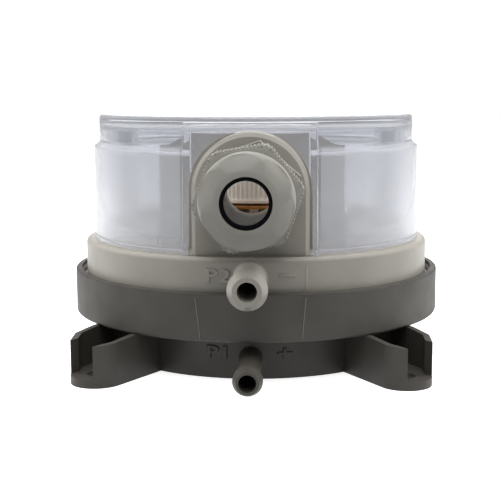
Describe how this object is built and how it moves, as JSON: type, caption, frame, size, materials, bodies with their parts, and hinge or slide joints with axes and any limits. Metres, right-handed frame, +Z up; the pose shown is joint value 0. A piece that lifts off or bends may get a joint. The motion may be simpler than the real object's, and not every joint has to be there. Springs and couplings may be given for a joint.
{
  "type": "differential pressure switch",
  "caption": "Round differential pressure switch for ventilation air: two-tone plastic body with lugs, hose nipples, clear cover, cable gland and a dial that sets the switching point.",
  "frame": {"origin": "centre of the round base, in the plane that the switch stands on", "axes": "+Z up along the housing axis, -Y along the cable gland and both hose nipples, +X to the right seen from the gland's side"},
  "size_m": [0.085, 0.1005, 0.055],
  "materials": {
    "dark_plastic": "matt moulded",
    "grey_plastic": "matt moulded",
    "gland_plastic": "satin moulded",
    "white_plastic": "satin moulded",
    "knob_plastic": "satin moulded",
    "clear_plastic": "clear polished",
    "silicone": "matt",
    "black_rubber": "matt",
    "aluminium": "rolled",
    "screw_steel": "zinc plated",
    "spring_steel": "drawn wire",
    "brass": "stamped",
    "copper": "rolled strip"
  },
  "bodies": {
    "housing": {"lower_housing": "dark_plastic", "upper_housing": "grey_plastic", "diaphragm": "silicone", "cover_gasket": "black_rubber", "gland_body": "gland_plastic", "gland_seal": "black_rubber", "knob_bridge": "white_plastic", "bridge_screws": "screw_steel", "rocker_pin": "screw_steel", "range_spring": "spring_steel", "contact_carrier": "white_plastic", "com_terminal": "brass", "nc_contact": "brass", "no_contact": "brass"},
    "diaphragm_plates": {"lower_plate": "aluminium", "upper_plate": "aluminium", "push_rod": "white_plastic"},
    "rocker": {"rocker": "white_plastic"},
    "contact_blade": {"contact_blade": "copper"},
    "adjusting_knob": {"adjusting_knob": "knob_plastic"},
    "spring_seat": {"spring_seat": "white_plastic"},
    "clear_cover": {"clear_cover": "clear_plastic"},
    "cover_screw_left": {"cover_screw_left": "screw_steel"},
    "cover_screw_right": {"cover_screw_right": "screw_steel"},
    "gland_nut": {"gland_nut": "gland_plastic"},
    "com_screw": {"com_screw": "screw_steel"},
    "nc_screw": {"nc_screw": "screw_steel"},
    "no_screw": {"no_screw": "screw_steel"}
  },
  "joints": [
    {"name": "diaphragm_travel", "type": "slide", "parent": "housing", "child": "diaphragm_plates", "axis": [0, 0, 1], "range_m": [0, 0.0004], "stiffness_N_per_m": 300, "springref_m": -0.002, "deforming": ["diaphragm", "range_spring"]},
    {"name": "rocker_tilt", "type": "hinge", "parent": "housing", "child": "rocker", "pos_m": [0, -0.0065, 0.0315], "axis": [1, 0, 0], "range_deg": [0, 3.6]},
    {"name": "blade_bend", "type": "hinge", "parent": "housing", "child": "contact_blade", "pos_m": [0.014, -0.01375, 0.0342], "axis": [0, -1, 0], "range_deg": [0, 1.7]},
    {"name": "knob_turn", "type": "hinge", "parent": "housing", "child": "adjusting_knob", "pos_m": [0, 0, 0.041], "axis": [0, 0, 1], "range_deg": [-135, 135]},
    {"name": "spring_seat_lift", "type": "slide", "parent": "housing", "child": "spring_seat", "axis": [0, 0, 1], "range_m": [-0.0006, 0.0006]},
    {"name": "cover_lift", "type": "slide", "parent": "housing", "child": "clear_cover", "axis": [0, 0, 1], "range_m": [0, 0.03]},
    {"name": "left_cover_screw_turn", "type": "hinge", "parent": "clear_cover", "child": "cover_screw_left", "pos_m": [-0.0312, 0, 0.045], "axis": [0, 0, 1], "continuous": true},
    {"name": "right_cover_screw_turn", "type": "hinge", "parent": "clear_cover", "child": "cover_screw_right", "pos_m": [0.0312, 0, 0.045], "axis": [0, 0, 1], "continuous": true},
    {"name": "gland_nut_turn", "type": "hinge", "parent": "housing", "child": "gland_nut", "pos_m": [0, -0.046, 0.0396], "axis": [0, -1, 0], "continuous": true},
    {"name": "com_screw_turn", "type": "hinge", "parent": "housing", "child": "com_screw", "pos_m": [0.0175, -0.003, 0.0335], "axis": [0, 0, 1], "continuous": true},
    {"name": "nc_screw_turn", "type": "hinge", "parent": "housing", "child": "nc_screw", "pos_m": [-0.0175, -0.003, 0.0335], "axis": [0, 0, 1], "continuous": true},
    {"name": "no_screw_turn", "type": "hinge", "parent": "housing", "child": "no_screw", "pos_m": [-0.0175, 0.005, 0.0335], "axis": [0, 0, 1], "continuous": true}
  ],
  "couplings": [
    {"joint": "rocker_tilt", "follows": "diaphragm_travel", "rad_per_m": 153.85},
    {"joint": "blade_bend", "follows": "diaphragm_travel", "rad_per_m": 68.718},
    {"joint": "spring_seat_lift", "follows": "knob_turn", "m_per_rad": 0.00023873}
  ]
}
